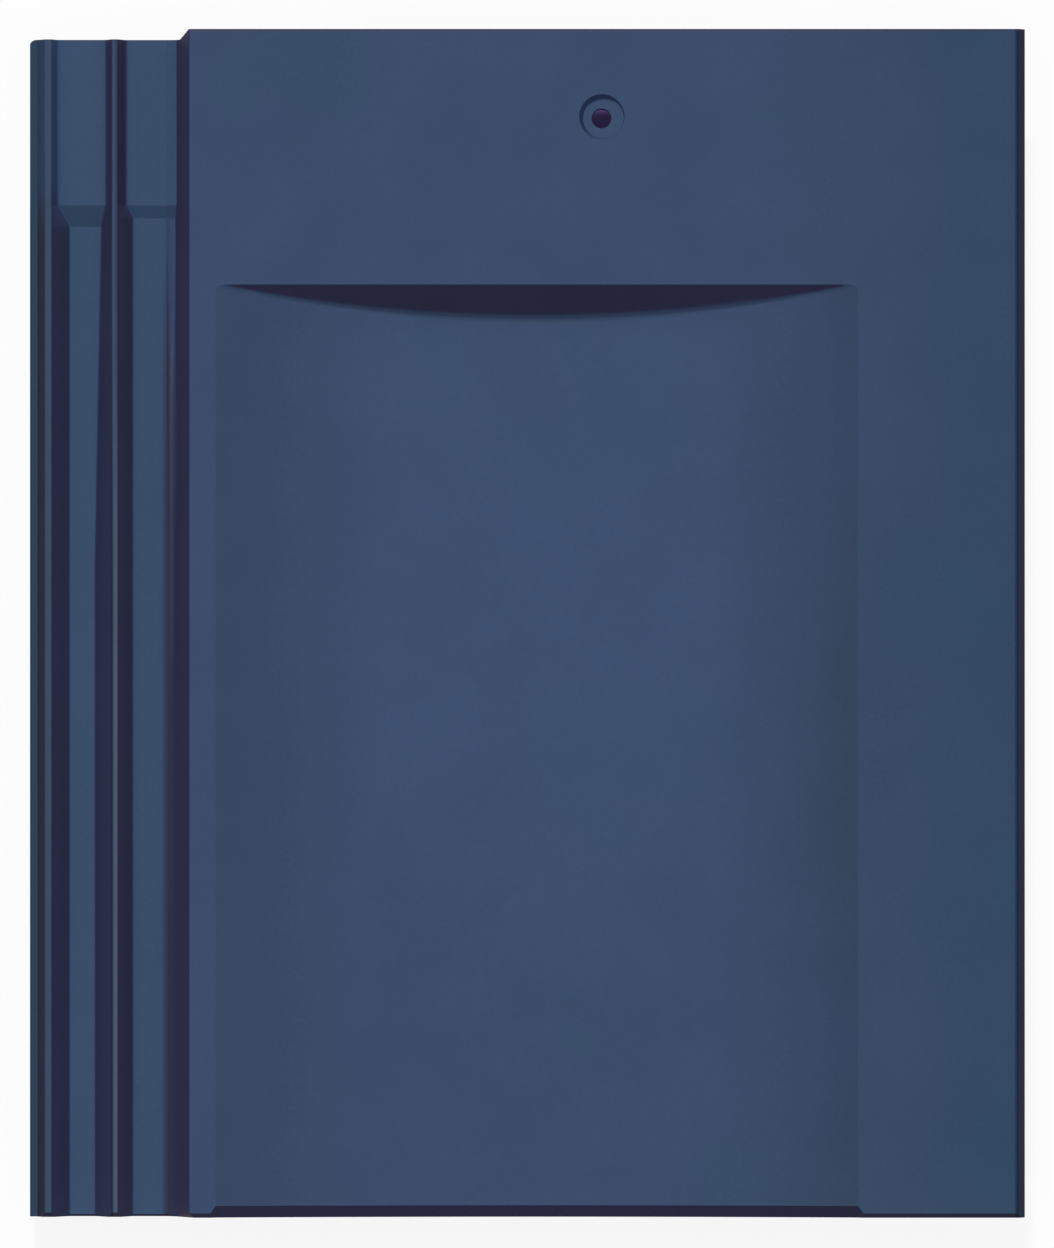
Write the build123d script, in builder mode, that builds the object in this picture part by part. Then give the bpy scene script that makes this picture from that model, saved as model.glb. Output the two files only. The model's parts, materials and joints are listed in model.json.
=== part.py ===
"""Flat interlocking roof tile of pressed concrete, lying on its lugs with the weather face up.

Millimetres. X runs from the underlock to the overlock, Y from the foot to the head, Z is up.
The origin is under the middle of the tile, at the level where the lugs and the foot bar rest.
"""
import os
from math import cos, radians, sin, tan

from build123d import *

os.makedirs("parts", exist_ok=True)

# Overall sizes
tile_length = 420.0  # foot to head
cover_width = 300.0  # from one tile to the next along a row
side_lap = 52.0  # overlock that lies over the next tile's underlock
slab_thickness = 12.5  # weather face to underside
lug_drop = 15.5  # underside of the slab to the floor

# Underlock, across from the left edge
lock_width = 56.6  # left edge to the weather face
ledge_width = 2.7  # flat rim outside the first rib
rib_1_x = 6.7  # middle of the first rib
rib_2_x = 30.2  # middle of the second rib
rib_width = 2.2  # flat top of a rib
flank_run_1 = 6.1  # plan width of the first channel's flanks
ramp_flank_1 = 3.7  # its right flank at the foot of the ramp
flank_run_2 = 5.0  # plan width of the second channel's rib flank
toe_run = 3.4  # easy slope at the foot of the body wall
toe_rise = 2.8
head_toe_rise = 0.8  # the same slope beside the raised floor
wall_draft = 20.0  # lean of the body wall from upright, in degrees

# Underlock, downwards
ledge_drop = 5.0  # rib top to rim
channel_depth = 7.5  # rib top to channel floor
lock_floor = 6.5  # concrete under the channel floor

# Raised channel floors at the head
head_depth_1 = 5.2
head_depth_2 = 6.2
head_flank_1 = 2.0
head_flank_2 = 2.6
ramp_station = 62.0  # head to the start of the ramps
ramp_run_1 = 7.5
ramp_run_2 = 4.5
ease_station = 190.0  # head to the place where flank and toe reach their full slope
lock_set_back = 3.4  # the underlock stops short of the head by this
lock_corner = 2.5  # its rounded outer corner there

# Overlock
strip_thickness = 6.5
seat_gap = 1.0  # between a rib top and the strip over it
side_gap = 2.5  # between a tongue and the flanks of its channel
floor_gap = 2.5  # between a tongue and the floor of its channel
lap_gap = 2.0  # between the slab and the next tile's rim
inner_run = 3.5  # slope from the slab up to the strip
nose_run = 2.6  # lean of the right-hand side face
nose_land = 1.5  # upright part of that face, at its foot
nose_round = 0.6
tongue_station = 76.0  # head to the start of the tongues

# Dished panel
dish_left = 66.0  # left edge of the tile to the dish
dish_right_gap = 7.0  # the dish ends this far short of the next tile's rim
dish_depth = 7.5
step_station = 90.3  # head to the step
step_run = 11.0  # plan length of the step's slope at mid-width
belly_inset = 10.5  # the underside follows the dish, inside its edges by this
belly_drop = 7.0
belly_station = 76.0
belly_run = 12.0

# Foot edge
lip_run = 4.2  # bevel along the dish
lip_drop = 3.0
lip_flare = 3.0  # the bevel spreads into the side strips by this
foot_arris = 1.6  # bevel across the strips and the ribs
mouth_arris = 0.8  # bevel across the channel floors
foot_corner = 4.2  # rounded corner between the body wall and the foot, at the weather face
foot_corner_end = 0.6  # the same corner where the wall meets its toe
corner_past = 0.2  # a rounded corner crosses the face it ends on by this

# Lugs and the pads that sit on the batten
lug_margin = 10.0  # slab's flat underside beside a lug
lug_width = 34.0
lug_face_station = 18.0  # head to the face that hooks on the batten
lug_root = 14.0
lug_tip = 9.0
pad_width = 16.0
pad_drop = 6.5  # underside of the slab to the batten
pad_end_station = 60.0  # head to the foot end of the batten seat
pad_end_run = 6.0
keel_draft = 25.0  # degrees

# Bars across the foot
bar_width = 14.0
bar_draft = 2.5
weather_bar_station = 46.0  # foot to the second bar
weather_bar_width = 12.0
weather_bar_lift = 1.0  # it stays this far off the floor

# Nail hole
nail_hole_radius = 3.5
nail_hole_station = 31.6  # head to the hole
nail_hole_across = 202.3  # left edge to the hole
recess_radius = 7.2  # floor of the round recess
recess_depth = 0.75  # at its middle
recess_fall = 0.09  # slope of its floor
recess_bearing = 45.0  # the floor falls this many degrees left of the head
recess_draft = 45.0  # lean of its wall from upright, in degrees
recess_right = 0.7  # its middle, to the right of the hole

# Softened edges
arris = 0.8
rib_round = 0.7
floor_round = 1.5
step_arris = 0.5
step_toe_round = 4.0
lug_round = 1.5
lug_root_round = 2.0
pad_round = 1.0
bar_round = 1.2
keel_round = 1.0
tongue_round = 1.0
keel_root_round = 6.0

# Levels and stations that follow from the sizes above
tile_width = cover_width + side_lap
left_x = -tile_width / 2
right_x = tile_width / 2
head_y = tile_length / 2
foot_y = -tile_length / 2
face_z = slab_thickness + lug_drop
slab_z = lug_drop
seat_z = slab_z - pad_drop
strip_z = face_z - strip_thickness
rib_z = strip_z - seat_gap
ledge_z = rib_z - ledge_drop
floor_z = rib_z - channel_depth
keel_z = floor_z - lock_floor
head_floor_1_z = rib_z - head_depth_1
head_floor_2_z = rib_z - head_depth_2
body_x = left_x + lock_width
wall_slope = tan(radians(wall_draft))
dish_x1 = left_x + dish_left
dish_x2 = left_x + cover_width - dish_right_gap
dish_mid = (dish_x1 + dish_x2) / 2
step_y = head_y - step_station
ramp_y = head_y - ramp_station
ease_y = head_y - ease_station
slab_right = left_x + cover_width - lap_gap
over_x = left_x + cover_width
rib_1_left = left_x + rib_1_x - rib_width / 2
rib_1_right = rib_1_left + rib_width
rib_2_left = left_x + rib_2_x - rib_width / 2
rib_2_right = rib_2_left + rib_width
bar_left = dish_x1 - bar_draft
lug_face_y = head_y - lug_face_station
lug_left = dish_x1 + lug_margin + lug_width / 2
lug_right = slab_right - lug_margin - lug_width / 2
belly_x1 = dish_x1 + belly_inset
belly_x2 = dish_x2 - belly_inset
nail_hole_x = left_x + nail_hole_across
nail_hole_y = head_y - nail_hole_station
recess_lean_x = -recess_fall * sin(radians(recess_bearing))
recess_lean_y = recess_fall * cos(radians(recess_bearing))
clear = 1.0  # cutters run past the faces they cut by this
near = 0.01  # how close an edge lies to the place it is picked by


def wall_at(z):
    """X of the body wall at a height."""
    return body_x - (face_z - z) * wall_slope


# Tongues: each follows the flanks of the channel that it drops into, one cover width away
tongue_z = floor_z + floor_gap
slope_1 = flank_run_1 / channel_depth
slope_2 = flank_run_2 / channel_depth
floor_2_right = wall_at(floor_z + toe_rise) - toe_run
half_1 = (rib_2_left - rib_1_right) / 2 - flank_run_1 + floor_gap * slope_1 - side_gap
half_2 = (floor_2_right - rib_2_right - flank_run_2) / 2 + floor_gap * slope_2 - side_gap
mid_1 = cover_width + (rib_1_right + rib_2_left) / 2
mid_2 = cover_width + (rib_2_right + flank_run_2 + floor_2_right) / 2
root_1 = half_1 + (strip_z - tongue_z) * slope_1
root_2 = half_2 + (strip_z - tongue_z) * slope_2


def across(y):
    """Upright plane across the tile at a station, with its normal to the foot."""
    return Plane.XZ.offset(-y)


def pick(edges, axis, low, high):
    """The edges whose middle lies between two places along an axis."""
    return edges.filter_by_position(axis, low - near, high + near)


def channel_1_section(flank, right_flank, floor):
    """Corners of the first channel between the two ribs."""
    return [
        (rib_1_right - rib_width / 2, rib_z + clear),
        (rib_1_right - rib_width / 2, rib_z),
        (rib_1_right, rib_z),
        (rib_1_right + flank, floor),
        (rib_2_left - right_flank, floor),
        (rib_2_left, rib_z),
        (rib_2_left + rib_width / 2, rib_z),
        (rib_2_left + rib_width / 2, rib_z + clear),
    ]


def channel_2_section(flank, floor, toe):
    """Corners of the second channel between a rib and the body wall."""
    return [
        (rib_2_right - rib_width / 2, rib_z + clear),
        (rib_2_right - rib_width / 2, rib_z),
        (rib_2_right, rib_z),
        (rib_2_right + flank, floor),
        (wall_at(floor + toe) - toe_run, floor),
        (wall_at(floor + toe), floor + toe),
        (wall_at(rib_z + clear), rib_z + clear),
    ]


def draw_channel(sketch, corners, rib_edges):
    """Draws a channel's section in an open sketch, its floor and the ribs beside it rounded."""
    with BuildLine() as outline:
        Polyline(*corners, close=True)
    make_face(outline.line.edges())
    fillet(sketch.vertices().group_by(Axis.Y)[0], radius=floor_round)
    for x in rib_edges:
        fillet(sketch.vertices().filter_by_position(Axis.X, x, x), radius=rib_round)


# First channel: a raised head part, a ramp, a part that eases to the full section, the long
# part and a mouth bevelled at the foot
ribs_1 = (rib_1_right, rib_2_left)
with BuildPart() as channel_1:
    with BuildSketch(across(ramp_y)) as head_1:
        draw_channel(head_1, channel_1_section(head_flank_1, head_flank_1, head_floor_1_z), ribs_1)
    with BuildSketch(across(ramp_y - ramp_run_1)) as ramp_foot_1:
        draw_channel(ramp_foot_1, channel_1_section(flank_run_1, ramp_flank_1, floor_z), ribs_1)
    with BuildSketch(across(ease_y)) as long_1:
        draw_channel(long_1, channel_1_section(flank_run_1, flank_run_1, floor_z), ribs_1)
    loft(ruled=True)
    with BuildSketch(across(foot_y + mouth_arris)) as mouth_1:
        draw_channel(mouth_1, channel_1_section(flank_run_1, flank_run_1, floor_z), ribs_1)
    with BuildSketch(across(foot_y)) as foot_1:
        draw_channel(foot_1, channel_1_section(flank_run_1, flank_run_1, floor_z - mouth_arris), ribs_1)
    loft(ruled=True)
    extrude(head_1.sketch, amount=-(ramp_station + clear))
    extrude(long_1.sketch, amount=tile_length - ease_station + clear)

# Second channel, cut the same way
ribs_2 = (rib_2_right,)
with BuildPart() as channel_2:
    with BuildSketch(across(ramp_y)) as head_2:
        draw_channel(head_2, channel_2_section(head_flank_2, head_floor_2_z, head_toe_rise), ribs_2)
    with BuildSketch(across(ramp_y - ramp_run_2)) as ramp_foot_2:
        draw_channel(ramp_foot_2, channel_2_section(flank_run_2, floor_z, head_toe_rise), ribs_2)
    with BuildSketch(across(ease_y)) as long_2:
        draw_channel(long_2, channel_2_section(flank_run_2, floor_z, toe_rise), ribs_2)
    loft(ruled=True)
    with BuildSketch(across(foot_y + mouth_arris)) as mouth_2:
        draw_channel(mouth_2, channel_2_section(flank_run_2, floor_z, toe_rise), ribs_2)
    with BuildSketch(across(foot_y)) as foot_2:
        draw_channel(foot_2, channel_2_section(flank_run_2, floor_z - mouth_arris, toe_rise), ribs_2)
    loft(ruled=True)
    extrude(head_2.sketch, amount=-(ramp_station + clear))
    extrude(long_2.sketch, amount=tile_length - ease_station + clear)

# Dish: a shallow arc along the tile that ends in a sloping step
with BuildPart() as dish:
    with BuildSketch(across(step_y)):
        with BuildLine():
            ThreePointArc((dish_x1, face_z), (dish_mid, face_z - dish_depth), (dish_x2, face_z))
            Polyline(
                (dish_x2, face_z),
                (dish_x2, face_z + clear),
                (dish_x1, face_z + clear),
                (dish_x1, face_z),
            )
        make_face()
    extrude(amount=tile_length - step_station + clear)
    split(bisect_by=Plane((dish_mid, step_y, face_z), (1, 0, 0), (0, -dish_depth, step_run)), keep=Keep.TOP)
    fillet(pick(dish.edges(), Axis.Y, step_y - step_run, step_y - step_run), radius=step_toe_round)

# Belly: the underside that follows the dish
with BuildPart() as belly:
    with BuildSketch(across(head_y - belly_station)):
        with BuildLine():
            ThreePointArc(
                (belly_x1, slab_z),
                (dish_mid, slab_z - belly_drop),
                (belly_x2, slab_z),
            )
            Polyline(
                (belly_x2, slab_z),
                (belly_x2, slab_z + clear),
                (belly_x1, slab_z + clear),
                (belly_x1, slab_z),
            )
        make_face()
    extrude(amount=tile_length - belly_station)
    split(
        bisect_by=Plane((dish_mid, head_y - belly_station, slab_z), (1, 0, 0), (0, -belly_drop, belly_run)),
        keep=Keep.TOP,
    )

# Lug, upright on the side that hooks on the batten, and the pad that sits on the batten
with BuildPart() as lug:
    with BuildSketch(Plane.YZ.offset(-lug_width / 2)):
        with BuildLine():
            Polyline(
                (lug_face_y, slab_z),
                (lug_face_y, 0),
                (lug_face_y + lug_tip, 0),
                (lug_face_y + lug_root, slab_z),
                close=True,
            )
        make_face()
    extrude(amount=lug_width)
    fillet(pick(lug.edges(), Axis.Z, 0, slab_z - clear), radius=lug_round)
    with BuildSketch(Plane.YZ.offset(-pad_width / 2)):
        with BuildLine():
            Polyline(
                (head_y - pad_end_station - pad_end_run, slab_z),
                (head_y - pad_end_station, seat_z),
                (lug_face_y, seat_z),
                (lug_face_y, slab_z),
                close=True,
            )
        make_face()
    extrude(amount=pad_width)
    pad_edges = pick(lug.edges(), Axis.Z, seat_z, seat_z)
    fillet(pick(pad_edges, Axis.Y, head_y - pad_end_station, lug_face_y - clear), radius=pad_round)

with BuildPart() as tile:
    # Slab, underlock and overlock strip in one section
    with BuildSketch(across(head_y)) as section:
        with BuildLine():
            Polyline(
                (left_x, seat_z),
                (body_x, seat_z),
                (dish_x1, slab_z),
                (slab_right, slab_z),
                (slab_right + inner_run, strip_z),
                (right_x, strip_z),
                (right_x, strip_z + nose_land),
                (right_x - nose_run, face_z),
                (body_x, face_z),
                (wall_at(rib_z), rib_z),
                (rib_1_left, rib_z),
                (left_x + ledge_width, ledge_z),
                (left_x, ledge_z),
                close=True,
            )
        make_face()
        fillet(section.vertices().group_by(Axis.Y)[-1], radius=arris)
        fillet(section.vertices().group_by(Axis.X)[0], radius=arris)
        fillet(section.vertices().group_by(Axis.X)[-1], radius=nose_round)
        fillet(section.vertices().filter_by_position(Axis.X, rib_1_left, rib_1_left), radius=rib_round)
    extrude(amount=tile_length)
    add(belly.part)

    # Keel under the long part of the underlock
    with BuildSketch(Plane.XY.offset(seat_z)):
        with Locations((left_x + lock_width / 2, foot_y + (tile_length - pad_end_station) / 2)):
            Rectangle(lock_width, tile_length - pad_end_station)
    extrude(amount=-(seat_z - keel_z), taper=keel_draft)
    fillet(pick(tile.edges(), Axis.Z, keel_z, keel_z), radius=keel_round)

    # Tongues that drop into the next tile's channels
    with BuildSketch(across(head_y - tongue_station)):
        with BuildLine():
            Polyline(
                (mid_1 - root_1, strip_z),
                (mid_1 - half_1, tongue_z),
                (mid_1 + half_1, tongue_z),
                (mid_1 + root_1, strip_z),
                close=True,
            )
        make_face()
        with BuildLine():
            Polyline(
                (mid_2 - root_2, strip_z),
                (mid_2 - half_2, tongue_z),
                (mid_2 + half_2, tongue_z),
                (mid_2 + root_2, strip_z),
                close=True,
            )
        make_face()
    extrude(amount=tile_length - tongue_station)
    tongue_edges = pick(tile.edges(), Axis.Z, tongue_z, tongue_z)
    fillet(pick(tongue_edges, Axis.X, over_x, right_x), radius=tongue_round)

    # Lugs with their pads, blended into the slab
    with Locations((lug_left, 0, 0), (lug_right, 0, 0)):
        add(lug.part)
    lug_roots = pick(pick(tile.edges(), Axis.Z, slab_z, slab_z), Axis.Y, lug_face_y, head_y - clear)
    fillet(pick(lug_roots, Axis.X, lug_left - lug_width, lug_right + lug_width), radius=lug_root_round)

    # Foot bar and weather bar
    with BuildSketch(Plane.YZ.offset(bar_left)):
        with BuildLine():
            Polyline(
                (foot_y, slab_z),
                (foot_y, 0),
                (foot_y + bar_width - bar_draft, 0),
                (foot_y + bar_width, slab_z),
                close=True,
            )
        make_face()
        with BuildLine():
            Polyline(
                (foot_y + weather_bar_station, slab_z),
                (foot_y + weather_bar_station + bar_draft, weather_bar_lift),
                (foot_y + weather_bar_station + weather_bar_width - bar_draft, weather_bar_lift),
                (foot_y + weather_bar_station + weather_bar_width, slab_z),
                close=True,
            )
        make_face()
    extrude(amount=slab_right - bar_left)
    fillet(pick(pick(tile.edges(), Axis.Z, 0, weather_bar_lift), Axis.Y, foot_y, 0), radius=bar_round)
    keel_roots = pick(tile.edges(), Axis.Z, slab_z, slab_z)
    fillet(pick(keel_roots, Axis.X, dish_x1, dish_x1), radius=keel_root_round)

    # Channels and dish
    add(channel_1.part, mode=Mode.SUBTRACT)
    add(channel_2.part, mode=Mode.SUBTRACT)
    add(dish.part, mode=Mode.SUBTRACT)
    fillet(pick(pick(tile.edges(), Axis.Y, step_y, step_y), Axis.Z, face_z, face_z), radius=step_arris)

    # The underlock stops short of the head, with a slanting end at the body and a round corner
    lock_y = head_y - lock_set_back
    with BuildSketch(Plane.XY):
        with BuildLine():
            Polyline(
                (left_x - corner_past, lock_y - lock_corner),
                (left_x - clear, lock_y - lock_corner),
                (left_x - clear, head_y + clear),
                (body_x, head_y + clear),
                (body_x, head_y),
                (body_x - lock_set_back, lock_y),
                (left_x - corner_past + lock_corner, lock_y),
            )
            RadiusArc(
                (left_x - corner_past, lock_y - lock_corner),
                (left_x - corner_past + lock_corner, lock_y),
                lock_corner,
            )
        make_face()
    extrude(amount=face_z + clear, mode=Mode.SUBTRACT)

    # Bevelled lip of the dish at the foot
    with BuildSketch(across(foot_y + lip_run)):
        with BuildLine():
            ThreePointArc((dish_x1, face_z), (dish_mid, face_z - dish_depth), (dish_x2, face_z))
            Polyline(
                (dish_x2, face_z),
                (dish_x2 + clear, face_z + clear),
                (dish_x1 - clear, face_z + clear),
                (dish_x1, face_z),
            )
        make_face()
    with BuildSketch(across(foot_y)):
        with BuildLine():
            ThreePointArc(
                (dish_x1, face_z - lip_drop),
                (dish_mid, face_z - dish_depth - lip_drop),
                (dish_x2, face_z - lip_drop),
            )
            Polyline(
                (dish_x2, face_z - lip_drop),
                (dish_x2 + lip_flare + clear, face_z + clear),
                (dish_x1 - lip_flare - clear, face_z + clear),
                (dish_x1, face_z - lip_drop),
            )
        make_face()
    loft(ruled=True, mode=Mode.SUBTRACT)

    # Rounded corner between the body wall and the foot, which fades out down the wall
    for z, corner in ((face_z, foot_corner), (floor_z + toe_rise, foot_corner_end)):
        with BuildSketch(Plane.XY.offset(z)):
            with BuildLine():
                Polyline(
                    (wall_at(z) + corner, foot_y - corner_past),
                    (wall_at(z) + corner, foot_y - clear),
                    (wall_at(z) - clear, foot_y - clear),
                    (wall_at(z) - clear, foot_y + corner),
                    (wall_at(z) - corner_past, foot_y + corner),
                )
                RadiusArc(
                    (wall_at(z) + corner, foot_y - corner_past),
                    (wall_at(z) - corner_past, foot_y + corner),
                    corner + corner_past,
                )
            make_face()
    loft(ruled=True, mode=Mode.SUBTRACT)

    # Arrises across the foot and the head, and over the ends of the ribs
    with BuildSketch(Plane.YZ.offset(left_x - clear)):
        with BuildLine():
            Polyline(
                (foot_y, face_z - foot_arris),
                (foot_y + foot_arris, face_z),
                (foot_y, face_z),
                close=True,
            )
        make_face()
        with BuildLine():
            Polyline(
                (head_y, face_z - arris),
                (head_y - arris, face_z),
                (head_y, face_z),
                close=True,
            )
        make_face()
    extrude(amount=tile_width + 2 * clear, mode=Mode.SUBTRACT)
    with BuildSketch(Plane.YZ.offset(left_x - clear)):
        with BuildLine():
            Polyline(
                (foot_y, rib_z - foot_arris),
                (foot_y + foot_arris, rib_z),
                (foot_y, rib_z),
                close=True,
            )
        make_face()
    extrude(amount=rib_2_x + rib_width + flank_run_2 + clear, mode=Mode.SUBTRACT)

    # Nail hole in a shallow round recess with a sloping floor
    recess_middle = (nail_hole_x + recess_right, nail_hole_y, face_z - recess_depth)
    with BuildSketch(Plane(recess_middle, z_dir=(recess_lean_x, recess_lean_y, 1))):
        Circle(recess_radius)
    extrude(amount=recess_depth + 2 * clear, taper=-recess_draft, mode=Mode.SUBTRACT)
    with Locations((nail_hole_x, nail_hole_y, face_z)):
        Hole(nail_hole_radius)

tile.part.label = "roof_tile"
export_step(tile.part, "parts/roof_tile.step")
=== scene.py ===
# %% [markdown]
# # A flat interlocking roof tile
# The tile is one casting of pressed concrete with a matt blue coat on its weather face.
# It could be modelled from a plane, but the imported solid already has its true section,
# dish, ribs, lugs and nail hole. So that solid is loaded first and stays fixed, and every
# cell after this one dresses it.

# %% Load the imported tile
import json
from math import degrees, radians, sin

import bpy
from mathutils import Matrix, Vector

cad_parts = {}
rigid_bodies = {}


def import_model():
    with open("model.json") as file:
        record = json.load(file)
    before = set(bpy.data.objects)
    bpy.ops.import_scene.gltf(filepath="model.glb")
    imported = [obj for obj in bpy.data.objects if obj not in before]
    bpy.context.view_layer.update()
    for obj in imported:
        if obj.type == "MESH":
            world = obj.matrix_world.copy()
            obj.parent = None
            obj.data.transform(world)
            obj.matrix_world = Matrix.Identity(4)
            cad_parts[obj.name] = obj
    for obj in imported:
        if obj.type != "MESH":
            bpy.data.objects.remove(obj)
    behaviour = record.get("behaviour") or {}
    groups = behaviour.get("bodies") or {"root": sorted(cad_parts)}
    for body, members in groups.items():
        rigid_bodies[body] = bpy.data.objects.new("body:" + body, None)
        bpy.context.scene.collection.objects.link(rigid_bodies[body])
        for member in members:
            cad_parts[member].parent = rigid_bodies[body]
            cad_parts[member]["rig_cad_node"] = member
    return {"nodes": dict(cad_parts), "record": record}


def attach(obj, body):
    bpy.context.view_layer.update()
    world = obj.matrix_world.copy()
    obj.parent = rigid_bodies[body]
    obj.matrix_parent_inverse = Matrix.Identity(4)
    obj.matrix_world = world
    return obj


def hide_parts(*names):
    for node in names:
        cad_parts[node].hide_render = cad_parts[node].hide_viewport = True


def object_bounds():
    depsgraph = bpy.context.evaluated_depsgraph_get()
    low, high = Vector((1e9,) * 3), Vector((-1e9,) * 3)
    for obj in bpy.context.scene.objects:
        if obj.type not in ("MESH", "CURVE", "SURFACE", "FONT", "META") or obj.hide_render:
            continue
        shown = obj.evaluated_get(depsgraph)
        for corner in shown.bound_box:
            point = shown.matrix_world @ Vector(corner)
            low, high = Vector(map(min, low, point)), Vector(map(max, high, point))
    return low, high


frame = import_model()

cad_low, cad_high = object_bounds()
left_edge = cad_low.x
head_edge = cad_high.y
face_level = cad_high.z
print("packed box", [round(v, 4) for v in cad_low], [round(v, 4) for v in cad_high])

# %% [markdown]
# ## The casting
# The real tile comes out of its mould in one piece, so it is one mesh here too.
# It could be modelled afresh from a plane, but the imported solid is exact, and a copy of it
# keeps every rib and channel true. Its loose triangles are merged into one closed skin.

# %% Copy the solid and close its skin
MERGE_DISTANCE = 1e-6

tile_node = frame["nodes"]["roof_tile"]
bpy.ops.object.select_all(action="DESELECT")
tile_node.select_set(True)
bpy.context.view_layer.objects.active = tile_node
bpy.ops.object.duplicate()
casting = bpy.context.active_object
casting.name = "tile_casting"
casting.data.name = "tile_casting"
del casting["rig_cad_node"]
casting.data.materials.clear()

bpy.ops.object.mode_set(mode="EDIT")
bpy.ops.mesh.select_all(action="SELECT")
bpy.ops.mesh.remove_doubles(threshold=MERGE_DISTANCE)
bpy.ops.mesh.customdata_custom_splitnormals_clear()
bpy.ops.object.mode_set(mode="OBJECT")
print("casting:", len(casting.data.vertices), "corners,", len(casting.data.polygons), "faces")

# %% [markdown]
# ## Soft edges
# Pressed concrete has rounded ribs and channels, which shade smoothly, and a sharp arris
# at each end. Every edge could be marked by hand, but the angle between its two faces
# already tells the kinds apart, so smooth shading by angle is enough.

# %% Shade the casting
SMOOTH_ANGLE = radians(32)

bpy.ops.object.shade_smooth_by_angle(angle=SMOOTH_ANGLE, keep_sharp_edges=True)
print("smooth up to", round(degrees(SMOOTH_ANGLE)), "degrees")

# %% [markdown]
# ## Crisp lines
# Some lines are crisp though they turn by a few degrees only: the two long lines where the
# flat face turns down into the dish, and the top and the foot of each ramp in the channels.
# A smaller smoothing angle would catch them, but it would also show the facets of the ribs.
# So these lines are picked by their place and marked sharp.

# %% Mark the crisp lines
PLACE_TOLERANCE = 0.0002
BODY_ACROSS = left_edge + 0.0566
DISH_LINES = (left_edge + 0.0660, left_edge + 0.2930)
RAMP_LINES = (head_edge - 0.0620, head_edge - 0.0665, head_edge - 0.0695)


def is_near(value, lines):
    """True where a value lies on one of the lines."""
    return any(abs(value - line) < PLACE_TOLERANCE for line in lines)


def lies_on_dish_line(corner):
    """True for a corner on one of the two long edges of the dish."""
    return is_near(corner.z, (face_level,)) and is_near(corner.x, DISH_LINES)


def lies_on_ramp_line(corner):
    """True for a corner at the top or the foot of a ramp."""
    return corner.x < BODY_ACROSS and is_near(corner.y, RAMP_LINES)


bpy.ops.object.mode_set(mode="EDIT")
bpy.ops.mesh.select_mode(type="EDGE")
bpy.ops.mesh.select_all(action="DESELECT")
bpy.ops.object.mode_set(mode="OBJECT")
corners = casting.data.vertices
marked = 0
for edge in casting.data.edges:
    ends = [corners[i].co for i in edge.vertices]
    edge.select = all(map(lies_on_dish_line, ends)) or all(map(lies_on_ramp_line, ends))
    marked += edge.select
bpy.ops.object.mode_set(mode="EDIT")
bpy.ops.mesh.mark_sharp()
bpy.ops.object.mode_set(mode="OBJECT")
print("crisp lines:", marked, "edges marked")

# %% [markdown]
# ## Level faces
# The broad faces of the real tile stay level right up to their roundings. Extra edge loops
# could hold them, but normals weighted by face area do it without a single new face.

# %% Weight the normals
FACE_WEIGHT = 100

bpy.ops.object.modifier_add(type="WEIGHTED_NORMAL")
level_faces = casting.modifiers[-1]
level_faces.mode = "FACE_AREA"
level_faces.weight = FACE_WEIGHT
level_faces.keep_sharp = True
bpy.ops.object.modifier_apply(modifier=level_faces.name)
print("normals weighted, modifiers left:", len(casting.modifiers))

# %% [markdown]
# ## The finish
# The coat is sprayed from above and fades out down the sides, so the underside is bare grey
# concrete. Shade and light are also painted into the coat: it is darker and violet on slopes,
# and further tints below paint shade, highlights and light. Two materials could be split by
# face, but the spray has no hard border, so one material holds both. Three small helpers keep
# its nodes readable.

# %% Start the finish
finish = bpy.data.materials.new("blue_coat_on_concrete")
finish.use_nodes = True
tree = finish.node_tree
tree.nodes.clear()


def node(kind, **settings):
    """A new node with its settings made."""
    made = tree.nodes.new(kind)
    for name, value in settings.items():
        setattr(made, name, value)
    return made


def feed(socket, value):
    """Links an output to a socket, or sets the socket to a plain value."""
    if isinstance(value, bpy.types.NodeSocket):
        tree.links.new(value, socket)
    else:
        socket.default_value = value


def calc(operation, first, second=0.0):
    """A sum on one or two values."""
    made = node("ShaderNodeMath", operation=operation)
    feed(made.inputs[0], first)
    feed(made.inputs[1], second)
    return made.outputs[0]


print("finish started:", finish.name)

# %% [markdown]
# ### Place and slope
# Where the spray lands depends on the place and on the slope. Both could be painted on the
# mesh, but the surface knows them already: Object coordinates give the place in metres,
# and the upward part of the normal gives the slope.

# %% Read the place and the slope
surface = node("ShaderNodeTexCoord")
place = surface.outputs["Object"]
place_split = node("ShaderNodeSeparateXYZ")
feed(place_split.inputs[0], place)
across, along, height = place_split.outputs
facing = node("ShaderNodeSeparateXYZ")
feed(facing.inputs[0], surface.outputs["Normal"])
upward = facing.outputs["Z"]
print("read from", place.name, "and", surface.outputs["Normal"].name)

# %% [markdown]
# ### Soft masks
# Most of the finish says where a tint holds: beside a line, up to a height, on a slope.
# Hard borders would look cut out, so each mask is a smooth step between two values. Masks
# join by their product where all must hold, or by the largest where one is enough.

# %% Helpers for soft masks
def fade(value, low, high):
    """A smooth step from 0 at low to 1 at high."""
    made = node("ShaderNodeMapRange", interpolation_type="SMOOTHSTEP")
    feed(made.inputs["Value"], value)
    feed(made.inputs["From Min"], low)
    feed(made.inputs["From Max"], high)
    return made.outputs[0]


def fall(value, low, high):
    """A smooth step from 1 at low to 0 at high."""
    return calc("SUBTRACT", 1.0, fade(value, low, high))


def window(value, rise, drop):
    """A smooth step up over one range and down over a later one."""
    return calc("SUBTRACT", fade(value, *rise), fade(value, *drop))


def distance_from(value, middle):
    """How far a value lies from a middle, on either side."""
    return calc("ABSOLUTE", calc("SUBTRACT", value, middle))


def overlap(first, *others):
    """Where all of several masks hold."""
    for other in others:
        first = calc("MULTIPLY", first, other)
    return first


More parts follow.
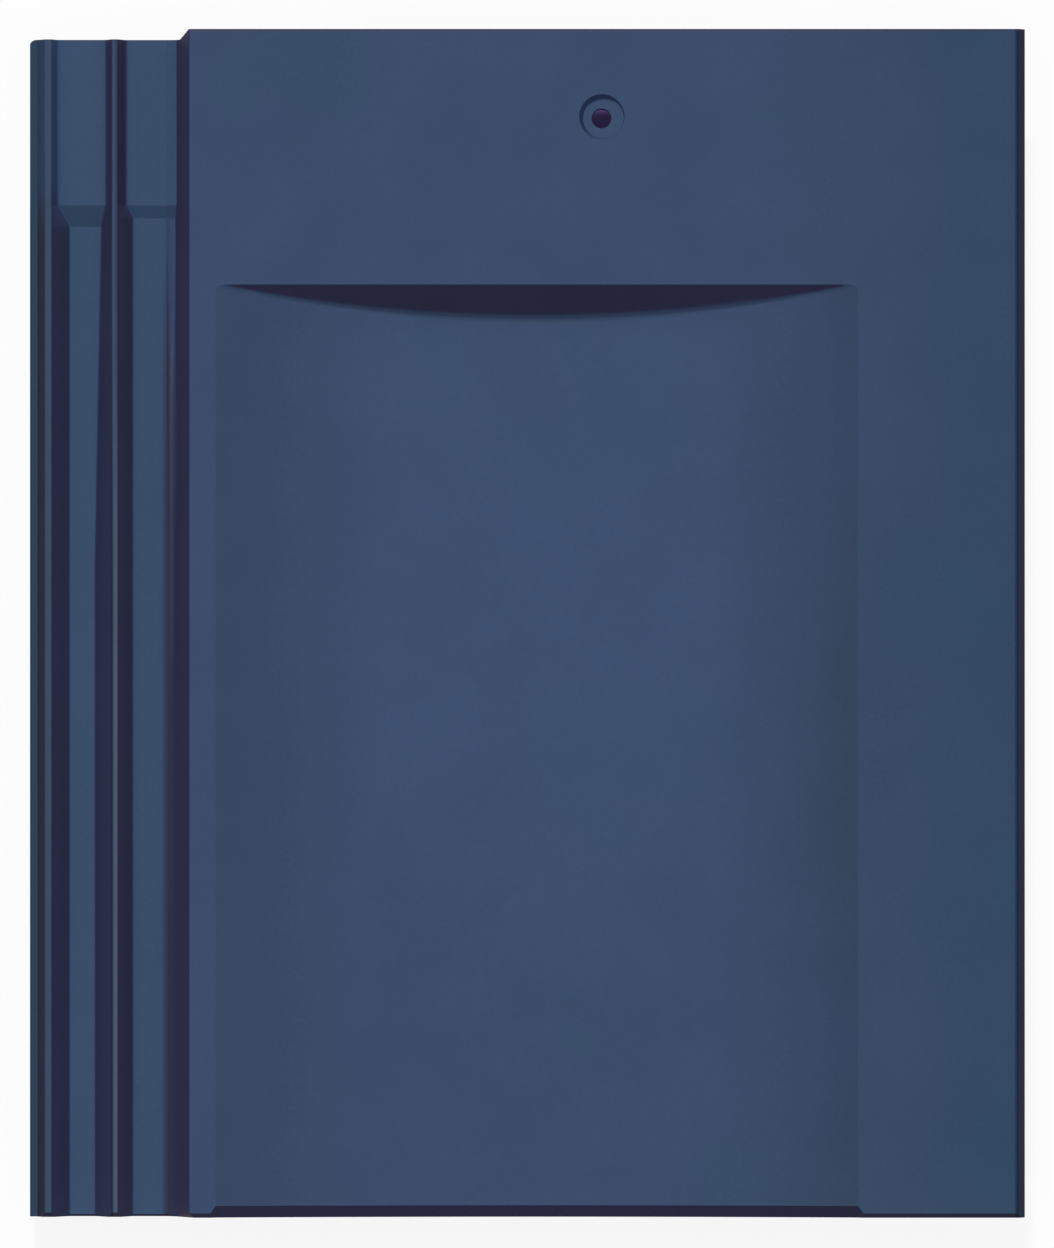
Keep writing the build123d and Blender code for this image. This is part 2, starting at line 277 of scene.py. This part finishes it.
def either(first, *others):
    """Where any of several masks holds."""
    for other in others:
        first = calc("MAXIMUM", first, other)
    return first


print("masks: smooth steps, joined by product or by the largest")

# %% [markdown]
# ### Tints and noise
# A tint is white where its mask is empty, and a colour is multiplied by one tint after
# another, so that each can be changed alone. The mottling is noise by place on the tile.
# An image could hold all this, but nodes stay sharp at any distance.

# %% Helpers for tints and noise
COLOUR_SOCKETS = (0, 6, 7)
COLOUR_RESULT = 2
VALUE_SOCKETS = (0, 2, 3)
VALUE_RESULT = 0
NOISE_MIDDLE = 0.5
WHITE = (1.0, 1.0, 1.0, 1.0)


def mix(factor, first, second, blend="MIX"):
    """One colour over another."""
    made = node("ShaderNodeMix", data_type="RGBA", blend_type=blend)
    for number, value in zip(COLOUR_SOCKETS, (factor, first, second)):
        feed(made.inputs[number], value)
    return made.outputs[COLOUR_RESULT]


def mix_values(factor, first, second):
    """One plain value over another."""
    made = node("ShaderNodeMix", data_type="FLOAT")
    for number, value in zip(VALUE_SOCKETS, (factor, first, second)):
        feed(made.inputs[number], value)
    return made.outputs[VALUE_RESULT]


def tint(mask, colour):
    """White where the mask is empty, the colour where it is full."""
    return mix(mask, WHITE, colour)


def tinted(colour, *tints):
    """A colour multiplied by tints, one after another."""
    for each in tints:
        colour = mix(1.0, colour, each, "MULTIPLY")
    return colour


def speckle(scale, detail, roughness=0.5):
    """A noise about its middle value, by place on the tile."""
    made = node("ShaderNodeTexNoise")
    feed(made.inputs["Vector"], place)
    feed(made.inputs["Scale"], scale)
    feed(made.inputs["Detail"], detail)
    feed(made.inputs["Roughness"], roughness)
    return made.outputs[0]


def shaken(value, noise, reach):
    """A value moved to and fro by a noise."""
    return calc("ADD", value, calc("MULTIPLY", calc("SUBTRACT", noise, NOISE_MIDDLE), reach))


print("tints start from", WHITE[:3])

# %% [markdown]
# ### Painted shade by slope
# On the level the coat is a full dark blue. Shade is painted into it by slope: a few degrees
# of slope darken it a little, the ramps in the channels keep it, and steep flanks, the body
# wall and the step of the dish are painted a dusky violet shade. A mask for each slope would
# do, but a colour ramp over the tilt in degrees says it in a few stops that are easy to adjust.

# %% Paint shade into the coat by its tilt
LEVEL_BLUE = (0.0416, 0.0713, 0.1455)
FULL_TILT = 90.0
# Painted shade: each stop darkens the blue and turns it violet as the slope grows.
SLOPE_SHADE_STOPS = [
    (0.0, (1.00, 1.00, 1.00)),
    (4.2, (1.00, 1.00, 1.00)),
    (7.2, (0.85, 0.84, 0.83)),
    (16.0, (0.96, 0.98, 1.02)),
    (30.0, (0.76, 0.45, 0.59)),
    (50.0, (0.80, 0.45, 0.54)),
    (90.0, (0.78, 0.44, 0.52)),
]

levelness = calc("MAXIMUM", calc("MINIMUM", upward, 1.0), -1.0)
tilt = calc("MULTIPLY", calc("ARCCOSINE", levelness), degrees(1.0) / FULL_TILT)
slope_shade_ramp = node("ShaderNodeValToRGB")
feed(slope_shade_ramp.inputs[0], tilt)
stops = slope_shade_ramp.color_ramp.elements
ready_stops = len(stops)
for number, (angle, share) in enumerate(SLOPE_SHADE_STOPS):
    stop = stops[number] if number < ready_stops else stops.new(angle / FULL_TILT)
    stop.position = angle / FULL_TILT
    stop.color = (*(b * s for b, s in zip(LEVEL_BLUE, share)), 1.0)
coat_colour = slope_shade_ramp.outputs["Color"]
print("coat ramp:", len(stops), "stops")

# %% [markdown]
# ### Patches
# A sprayed coat on damp concrete dries in faint patches, some a little greener, with fine
# dark specks between them. They could be painted by hand, but no two tiles are alike, so
# soft noises at three scales do it.

# %% Mottle the coat
PATCH_SCALE = 13.0
CLOUD_SCALE = 32.0
SPECK_SCALE = 750.0
PLAIN_DETAIL = 2.0
CLOUD_DETAIL = 3.0
PATCH_RANGE = (0.50, 0.72)
NOISE_RANGE = (0.35, 0.65)
TEAL = (0.92, 0.99, 0.955, 1.0)
DARK_CLOUD = (0.955, 0.96, 0.965, 1.0)
DARK_SPECK = (0.95, 0.95, 0.95, 1.0)

patches = speckle(PATCH_SCALE, PLAIN_DETAIL)
clouds = speckle(CLOUD_SCALE, CLOUD_DETAIL)
specks = speckle(SPECK_SCALE, PLAIN_DETAIL)
teal_tint = tint(fade(patches, *PATCH_RANGE), TEAL)
cloud_tint = tint(fall(clouds, *NOISE_RANGE), DARK_CLOUD)
speck_tint = tint(fall(specks, *NOISE_RANGE), DARK_SPECK)
coat_colour = tinted(coat_colour, teal_tint, cloud_tint, speck_tint)
print("mottling: patches of", round(1 / PATCH_SCALE, 3), "m")

# %% [markdown]
# ### Lap and dish
# The lap on the right is painted darker along its whole length, in two stages, as painted
# shade, and the middle of the dish is painted a little lighter, as painted light. Faces could
# be coloured apart, but the change is gradual, so ramps across the tile and along it do this.
# The lap's borders are shaken by the patches so that no line shows.

# %% Paint shade on the lap and light in the dish
LAP_SHAKE = 0.030
LAP_INNER_ACROSS = (0.090, 0.122)
LAP_OUTER_ACROSS = (0.120, 0.162)
# Painted shade, darker towards the right.
LAP_INNER_SHADE = (0.95, 0.93, 0.89, 1.0)
LAP_OUTER_SHADE = (0.80, 0.95, 0.95, 1.0)
DISH_MIDDLE = sum(DISH_LINES) / len(DISH_LINES)
DISH_ASIDE = (0.040, 0.100)
DISH_HEAD = (0.100, 0.112)
DISH_FOOT = (-0.160, -0.020)
# Painted light in the middle of the dish.
DISH_LIGHT = (1.05, 1.06, 1.06, 1.0)

lap_place = shaken(across, patches, LAP_SHAKE)
inner_lap_shade = tint(fade(lap_place, *LAP_INNER_ACROSS), LAP_INNER_SHADE)
outer_lap_shade = tint(fade(lap_place, *LAP_OUTER_ACROSS), LAP_OUTER_SHADE)
from_middle = distance_from(across, DISH_MIDDLE)
in_dish = overlap(fall(from_middle, *DISH_ASIDE), window(along, DISH_FOOT, DISH_HEAD))
dish_light = tint(in_dish, DISH_LIGHT)
coat_colour = tinted(coat_colour, inner_lap_shade, outer_lap_shade, dish_light)
print("lap dulls from", LAP_INNER_ACROSS[0], "to", LAP_OUTER_ACROSS[1])

# %% [markdown]
# ### Channels and rib tops
# The channels are painted a little lighter, as painted light, and the tops of the ribs are
# rubbed greyer. Faces could be picked one by one, but the height alone tells a rib from a
# channel, and the place across keeps the tint off the body of the tile.

# %% Tint the channels and the rib tops
CHANNEL_ACROSS = (-0.1240, -0.1215)
# Painted light in the channels; the rib-top tint below is wear.
CHANNEL_LIGHT = (1.02, 1.10, 1.05, 1.0)
RIB_HEIGHT = (0.0194, 0.0203)
RIB_RUBBED = (1.00, 0.98, 0.87, 1.0)

channel_light_rib_wear_mix = mix(fade(height, *RIB_HEIGHT), CHANNEL_LIGHT, RIB_RUBBED)
channel_light_and_rib_wear = mix(fade(across, *CHANNEL_ACROSS), channel_light_rib_wear_mix, WHITE)
coat_colour = tinted(coat_colour, channel_light_and_rib_wear)
print("ribs rubbed above", RIB_HEIGHT[0])

# %% [markdown]
# ### Second rib
# The second rib has a painted highlight along its crest and painted shade on one shoulder.
# The shoulder is on its left along most of the rib and on its right near the head. Thinner
# faces on the rib could show it, but the rib is only a few millimetres wide, so the distance
# from its middle picks out the crest, and the side picks out the shoulder.

# %% Tint the second rib
CREST_ACROSS = left_edge + 0.0302
CREST_REACH = (0.0002, 0.0012)
CREST_ALONG = (0.000, 0.140)
# Painted highlight on the crest, painted shade on the shoulders.
CREST_HIGHLIGHT = (1.66, 1.36, 1.19, 1.0)
SHOULDER_ACROSS = (-0.1466, -0.1459)
SHOULDER_REACH = (0.0011, 0.0014)
SHOULDER_SHADE = (0.42, 0.41, 0.48, 1.0)
HEAD_SHOULDER_ACROSS = (-0.1459, -0.1453)
HEAD_SHOULDER_REACH = (0.0010, 0.0016)
HEAD_SHOULDER_SHADE = (0.62, 0.62, 0.68, 1.0)

from_crest = distance_from(across, CREST_ACROSS)
near_head = fade(along, *CREST_ALONG)
below_head = fall(along, *CREST_ALONG)
on_crest = overlap(fall(from_crest, *CREST_REACH), below_head)
on_shoulder = overlap(
    fall(from_crest, *SHOULDER_REACH),
    fall(across, *SHOULDER_ACROSS),
    below_head,
)
on_head_shoulder = overlap(
    fall(from_crest, *HEAD_SHOULDER_REACH),
    fade(across, *HEAD_SHOULDER_ACROSS),
    near_head,
)
crest_highlight = tint(on_crest, CREST_HIGHLIGHT)
shoulder_shade = tint(on_shoulder, SHOULDER_SHADE)
head_shoulder_shade = tint(on_head_shoulder, HEAD_SHOULDER_SHADE)
coat_colour = tinted(coat_colour, crest_highlight, shoulder_shade, head_shoulder_shade)
print("crest of the second rib at", round(CREST_ACROSS, 4))

# %% [markdown]
# ### Flanks and outer edges
# The flanks of the first channel are painted darker as shade, except beside the first rib
# near the head, where they are painted lighter as light, and the two outer edges are painted
# darker as shade. The ramp of shade by slope can't tell these slopes apart, so the slope is
# joined with the place.

# %% Tint the flanks and the outer edges
STEEP = (18.0, 30.0)
FLANK_ACROSS = (-0.1468, -0.1460)
# Painted shade on the flanks, painted light near the head, painted shade on both outer edges.
FLANK_SHADE = (0.80, 0.89, 0.92, 1.0)
HEAD_FLANK_ACROSS = (-0.1640, -0.1600)
HEAD_FLANK_ALONG = (0.135, 0.160)
HEAD_FLANK_LIGHT = (1.40, 2.20, 2.10, 1.0)
LEFT_ACROSS = (0.1702, 0.1712)
LEFT_EDGE_SHADE = (0.66, 0.68, 0.62, 1.0)
RIGHT_ACROSS = (0.1718, 0.1732)
RIGHT_EDGE_SHADE = (0.26, 0.38, 0.50, 1.0)

steep = fade(tilt, *(angle / FULL_TILT for angle in STEEP))
on_flank = overlap(steep, fall(across, *FLANK_ACROSS))
on_head_flank = overlap(
    steep,
    fall(across, *HEAD_FLANK_ACROSS),
    fade(along, *HEAD_FLANK_ALONG),
)
flank_shade = tint(on_flank, FLANK_SHADE)
head_flank_light = tint(on_head_flank, HEAD_FLANK_LIGHT)
left_edge_shade = tint(fade(calc("MULTIPLY", across, -1.0), *LEFT_ACROSS), LEFT_EDGE_SHADE)
right_edge_shade = tint(fade(across, *RIGHT_ACROSS), RIGHT_EDGE_SHADE)
coat_colour = tinted(coat_colour, flank_shade, head_flank_light, left_edge_shade, right_edge_shade)
print("steep from", STEEP[0], "degrees")

# %% [markdown]
# ### Toe of the body wall
# Painted shade darkens the floor of the second channel softly towards the slope at the
# foot of the body wall. In the upper half of the tile that slope is painted lighter, as
# painted light. The slope alone can't tell them apart, so a window across the tile and one
# along it pick out each of the two.

# %% Tint the toe and the floor beside it
BESIDE_TOE = (-0.1297, -0.1278)
BESIDE_TOE_END = (-0.1273, -0.1268)
BESIDE_TOE_HEAD = (0.070, 0.150)
# Painted shade beside the toe, painted light on the toe.
BESIDE_TOE_SHADE = (0.72, 0.56, 0.54, 1.0)
TOE_ACROSS = (-0.1269, -0.1263)
TOE_END = (-0.1254, -0.1248)
TOE_FOOT = (-0.030, 0.010)
TOE_HEAD = (0.085, 0.114)
TOE_LIGHT = (1.45, 1.50, 1.18, 1.0)

beside_toe = overlap(window(across, BESIDE_TOE, BESIDE_TOE_END), fall(along, *BESIDE_TOE_HEAD))
on_toe = overlap(window(across, TOE_ACROSS, TOE_END), window(along, TOE_FOOT, TOE_HEAD))
beside_toe_shade = tint(beside_toe, BESIDE_TOE_SHADE)
toe_light = tint(on_toe, TOE_LIGHT)
coat_colour = tinted(coat_colour, beside_toe_shade, toe_light)
print("toe from", TOE_ACROSS[0], "to", TOE_END[1])

# %% [markdown]
# ### Nail recess
# The steep wall of the round recess gets painted light and shade: it is darkest where it
# faces the head and the key lamp, and bluer where it faces the foot. A second material on
# those faces would show a hard border, so the distance from the hole and the slope together
# find the wall. The record says where the hole is.

# %% Tint the wall of the recess
RECESS_REACH = (0.0096, 0.0100)
FACES_HEAD = (-0.50, 0.15)
# Painted light and shade: one tint for each side of the recess wall.
RECESS_SHADED_SIDE = (0.77, 1.35, 1.56, 1.0)
RECESS_LIT_SIDE = (0.46, 0.81, 0.78, 1.0)

mounts = {mount["name"]: mount for mount in frame["record"]["mounts"]}
hole_across, hole_along, _ = mounts["nail_hole"]["pos_m"]
hole_place = (hole_across, hole_along, 0.0)


def distance_to_hole(position):
    """How far a position lies from the foot of the nail hole."""
    made = node("ShaderNodeVectorMath", operation="DISTANCE")
    feed(made.inputs[0], position)
    feed(made.inputs[1], hole_place)
    return made.outputs["Value"]


level_place = node("ShaderNodeCombineXYZ")
feed(level_place.inputs["X"], across)
feed(level_place.inputs["Y"], along)
from_hole = distance_to_hole(level_place.outputs[0])
on_wall = overlap(fall(from_hole, *RECESS_REACH), steep)
recess_light_and_shade = mix(fade(facing.outputs["Y"], *FACES_HEAD), RECESS_SHADED_SIDE, RECESS_LIT_SIDE)
recess_painted_light_and_shade = tint(on_wall, recess_light_and_shade)
coat_colour = tinted(coat_colour, recess_painted_light_and_shade)
print("recess round", hole_place[:2])

# %% [markdown]
# ### Bare concrete
# The underside never meets the spray. It is grey with fine pale and dark sand, and a few
# broad damp clouds. Grains could be scattered as mesh, but they are about a millimetre
# wide, so the same noises at other scales make them.

# %% Colour the bare concrete
SAND_SCALE = 900.0
SAND_DETAIL = 3.0
SAND_SHARE = 0.55
DAMP_SCALE = 18.0
DAMP_DETAIL = 4.0
DAMP_SHARE = 0.45
ROUGH_NOISE = 0.6
GREY_RANGE = (0.30, 0.70)
CONCRETE_DARK = (0.185, 0.180, 0.170, 1.0)
CONCRETE_PALE = (0.330, 0.322, 0.305, 1.0)

sand = speckle(SAND_SCALE, SAND_DETAIL, ROUGH_NOISE)
damp = speckle(DAMP_SCALE, DAMP_DETAIL, ROUGH_NOISE)
grey = calc("ADD", calc("MULTIPLY", sand, SAND_SHARE), calc("MULTIPLY", damp, DAMP_SHARE))
concrete_colour = mix(fade(grey, *GREY_RANGE), CONCRETE_DARK, CONCRETE_PALE)
print("sand grains of about", round(1000 / SAND_SCALE, 1), "mm")

# %% [markdown]
# ### Where the spray reaches
# Every face that looks up is coated. On the outer rim the spray runs some way down and
# frays out, and the foot edge, which shows on the roof, is coated nearly to the floor.
# Inside the nail hole it goes all the way. One height for all would be simpler, but it
# would coat the lugs too, so each place is a soft mask, and the largest of them wins.

# %% Mask the coat
LOOKS_UP = (0.05, 0.30)
STANDS = (-0.35, -0.05)
RIM_ACROSS = (0.172, 0.1745)
RIM_ALONG = (0.2050, 0.2068)
FOOT_ALONG = (0.2045, 0.2060)
SPRAY_END = (0.0075, 0.0140)
FOOT_SPRAY_END = (0.0010, 0.0050)
SPRAY_FRAY = 0.004
HOLE_REACH = (0.0042, 0.0052)

frayed = shaken(height, clouds, SPRAY_FRAY)
looks_up = fade(upward, *LOOKS_UP)
stands = fade(upward, *STANDS)
rim = either(
    fade(calc("ABSOLUTE", across), *RIM_ACROSS),
    fade(calc("ABSOLUTE", along), *RIM_ALONG),
)
rim_coat = overlap(rim, fade(frayed, *SPRAY_END))
foot = fade(calc("MULTIPLY", along, -1.0), *FOOT_ALONG)
foot_coat = overlap(foot, fade(frayed, *FOOT_SPRAY_END))
side_coat = overlap(stands, either(rim_coat, foot_coat))
hole_coat = overlap(stands, fall(from_hole, *HOLE_REACH))
coated = either(looks_up, side_coat, hole_coat)
tile_colour = mix(coated, concrete_colour, coat_colour)
print("spray ends", SPRAY_END, "above the floor")

# %% [markdown]
# ### Grain
# Under the coat the sand still shows as a fine grain, and on the bare underside it is
# coarser. It could be displaced mesh, but both grains are far smaller than a rib, so they
# are bump. Their heights are in metres, so the bump keeps them at full strength.

# %% Raise the grain
GRAIN_SCALE = 1500.0
COAT_GRAIN = 0.000012
BARE_GRAIN = 0.00010
FULL_STRENGTH = 1.0
ONE_METRE = 1.0

grain = speckle(GRAIN_SCALE, PLAIN_DETAIL)
bare_grain = calc("MULTIPLY", sand, BARE_GRAIN)
coat_grain = calc("MULTIPLY", grain, COAT_GRAIN)
bump = node("ShaderNodeBump")
feed(bump.inputs["Strength"], FULL_STRENGTH)
feed(bump.inputs["Distance"], ONE_METRE)
feed(bump.inputs["Height"], mix_values(coated, bare_grain, coat_grain))
print("grain of", round(COAT_GRAIN * 1e6), "and", round(BARE_GRAIN * 1e6), "micrometres")

# %% [markdown]
# ### Gloss
# The coat is matt with a slight sheen that varies with its clouds, and bare concrete has
# hardly any. Two shaders could be mixed, but one with a changing roughness is enough,
# because both are plain unpolished surfaces.

# %% Make the shader
COAT_ROUGHNESS = (0.56, 0.66)
BARE_ROUGHNESS = 0.9
MATT = 0.10

coat_gloss = mix_values(clouds, *COAT_ROUGHNESS)
shader = node("ShaderNodeBsdfPrincipled")
feed(shader.inputs["Base Color"], tile_colour)
feed(shader.inputs["Roughness"], mix_values(coated, BARE_ROUGHNESS, coat_gloss))
feed(shader.inputs["Specular IOR Level"], MATT)
feed(shader.inputs["Normal"], bump.outputs["Normal"])
finish_output = node("ShaderNodeOutputMaterial")
feed(finish_output.inputs["Surface"], shader.outputs["BSDF"])
casting.data.materials.append(finish)
print("finish:", len(tree.nodes), "nodes")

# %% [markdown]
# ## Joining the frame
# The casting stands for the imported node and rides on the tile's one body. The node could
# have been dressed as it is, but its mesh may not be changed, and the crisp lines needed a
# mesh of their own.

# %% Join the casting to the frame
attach(casting, "root")
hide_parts("roof_tile")
print("casting stands for roof_tile")

# %% [markdown]
# ## Floor
# The tile lies on a plain white floor. A curved sweep would do as well, but the camera
# looks straight down, so a wide plane is enough. It lies a hair below the tile, so that
# the two never share a face.

# %% Lay the floor
FLOOR_SIZE = 12.0
FLOOR_LEVEL = -0.0004

bpy.ops.object.select_all(action="DESELECT")
bpy.ops.mesh.primitive_plane_add(size=FLOOR_SIZE, location=(0, 0, FLOOR_LEVEL))
floor = bpy.context.active_object
floor.name = "floor"
bpy.ops.object.transform_apply(location=True)
print("floor at", FLOOR_LEVEL)

# %% [markdown]
# ### Floor finish
# A plain white plane would grey out away from the lamp, so to the camera it glows a little,
# which keeps the ground white while the tile's soft shadow still shows. To the tile it is
# grey, so that it doesn't light the sides from below. Under the tile it has no glow and is
# painted a darker grey as shade, and a violet spot of painted shade lies below the nail hole,
# so that the hole looks down into a dusky shade.

# %% Colour the floor
FLOOR_WHITE = (0.90, 0.90, 0.90, 1.0)
FLOOR_GREY = (0.25, 0.25, 0.25, 1.0)
# Painted shade under the tile and below the nail hole.
FLOOR_UNDER_SHADE = (0.35, 0.35, 0.36, 1.0)
FLOOR_HOLE_SHADE = (0.38, 0.27, 0.88, 1.0)
FLOOR_GLOW = 0.88
UNDER_ACROSS = (0.150, 0.166)
UNDER_ALONG = (0.185, 0.200)
SPOT_REACH = (0.007, 0.010)


def seen_directly():
    """1 for rays that show a surface to the camera, in a mirror or through glass."""
    rays = node("ShaderNodeLightPath").outputs
    return either(rays["Is Camera Ray"], rays["Is Glossy Ray"], rays["Is Transmission Ray"])


white_floor = bpy.data.materials.new("white_floor")
white_floor.use_nodes = True
tree = white_floor.node_tree
tree.nodes.clear()
floor_place = node("ShaderNodeTexCoord").outputs["Object"]
floor_split = node("ShaderNodeSeparateXYZ")
feed(floor_split.inputs[0], floor_place)
off_tile = either(
    fade(calc("ABSOLUTE", floor_split.outputs["X"]), *UNDER_ACROSS),
    fade(calc("ABSOLUTE", floor_split.outputs["Y"]), *UNDER_ALONG),
)
off_spot = fade(distance_to_hole(floor_place), *SPOT_REACH)
under_shade = mix(off_spot, FLOOR_HOLE_SHADE, FLOOR_UNDER_SHADE)
seen = seen_directly()
matt_white = node("ShaderNodeBsdfDiffuse")
feed(matt_white.inputs["Color"], mix(seen, FLOOR_GREY, mix(off_tile, under_shade, FLOOR_WHITE)))
glow = node("ShaderNodeEmission")
shown = node("ShaderNodeMixShader")
feed(shown.inputs[0], overlap(seen, off_tile, FLOOR_GLOW))
feed(shown.inputs[1], matt_white.outputs[0])
feed(shown.inputs[2], glow.outputs[0])
floor_output = node("ShaderNodeOutputMaterial")
feed(floor_output.inputs["Surface"], shown.outputs[0])
floor.data.materials.append(white_floor)
print("floor finish:", len(tree.nodes), "nodes")

# %% [markdown]
# ## Key light
# The key lamp stands beyond the head of the tile, low enough that the step of the dish
# throws a soft crescent of shadow. An area lamp would fall off along the tile, so it is a
# sun lamp, as soft as a large window.

# %% Light the tile
RIGHT_ANGLE = radians(90)
KEY_PLACE = (0.0, 2.0, 2.0)
KEY_RISE = radians(31)
KEY_SWING = radians(4)
KEY_SOFTNESS = radians(6)
KEY_STRENGTH = 3.05

bpy.ops.object.select_all(action="DESELECT")
bpy.ops.object.light_add(type="SUN", location=KEY_PLACE)
key = bpy.context.active_object
key.name = "key_lamp"
key.rotation_euler = (KEY_RISE - RIGHT_ANGLE, 0, KEY_SWING)
key.data.energy = KEY_STRENGTH
key.data.angle = KEY_SOFTNESS
print("key on a level face:", round(KEY_STRENGTH * sin(KEY_RISE), 2))

# %% [markdown]
# ## Sky
# A dim even sky fills the shadows. Fill lamps could do it, but a sky has no edges to show.
# With the key it gives a level white surface its own colour, so the coat renders about as
# it is written. Seen directly the sky is plain white.

# %% Fill the shadows
SKY_STRENGTH = 0.50
SKY_SEEN = 1.0

world = bpy.data.worlds.new("even_sky")
bpy.context.scene.world = world
world.use_nodes = True
tree = world.node_tree
tree.nodes.clear()
sky = node("ShaderNodeBackground")
feed(sky.inputs["Color"], WHITE)
feed(sky.inputs["Strength"], mix_values(seen_directly(), SKY_STRENGTH, SKY_SEEN))
sky_output = node("ShaderNodeOutputWorld")
feed(sky_output.inputs["Surface"], sky.outputs[0])
print("sky strength:", SKY_STRENGTH)

# %% [markdown]
# ## Camera
# The picture is taken from straight above with a long lens, the head of the tile at the
# top, so the sides hardly lean. A parallel view would be close, but a real lens keeps the
# slight lean. It follows from the distance and from the height of the picture on the
# weather face.

# %% Set the camera
IMAGE_SIZE = (1054, 1248)
METRES_PER_PIXEL = 0.0003532
TILE_MIDDLE = (527.0, 623.4)
CAMERA_DISTANCE = 5.0
SENSOR = 36.0

picture_height = IMAGE_SIZE[1] * METRES_PER_PIXEL
aside = (IMAGE_SIZE[0] / 2 - TILE_MIDDLE[0]) * METRES_PER_PIXEL
ahead = (TILE_MIDDLE[1] - IMAGE_SIZE[1] / 2) * METRES_PER_PIXEL
camera_place = (aside, ahead, face_level + CAMERA_DISTANCE)
bpy.ops.object.select_all(action="DESELECT")
bpy.ops.object.camera_add(location=camera_place, rotation=(0, 0, 0))
camera = bpy.context.active_object
camera.name = "camera"
camera.data.sensor_width = SENSOR
camera.data.lens = SENSOR * CAMERA_DISTANCE / picture_height
bpy.context.scene.camera = camera
bpy.context.scene.view_settings.view_transform = "Standard"
print("lens:", round(camera.data.lens, 1), "mm")
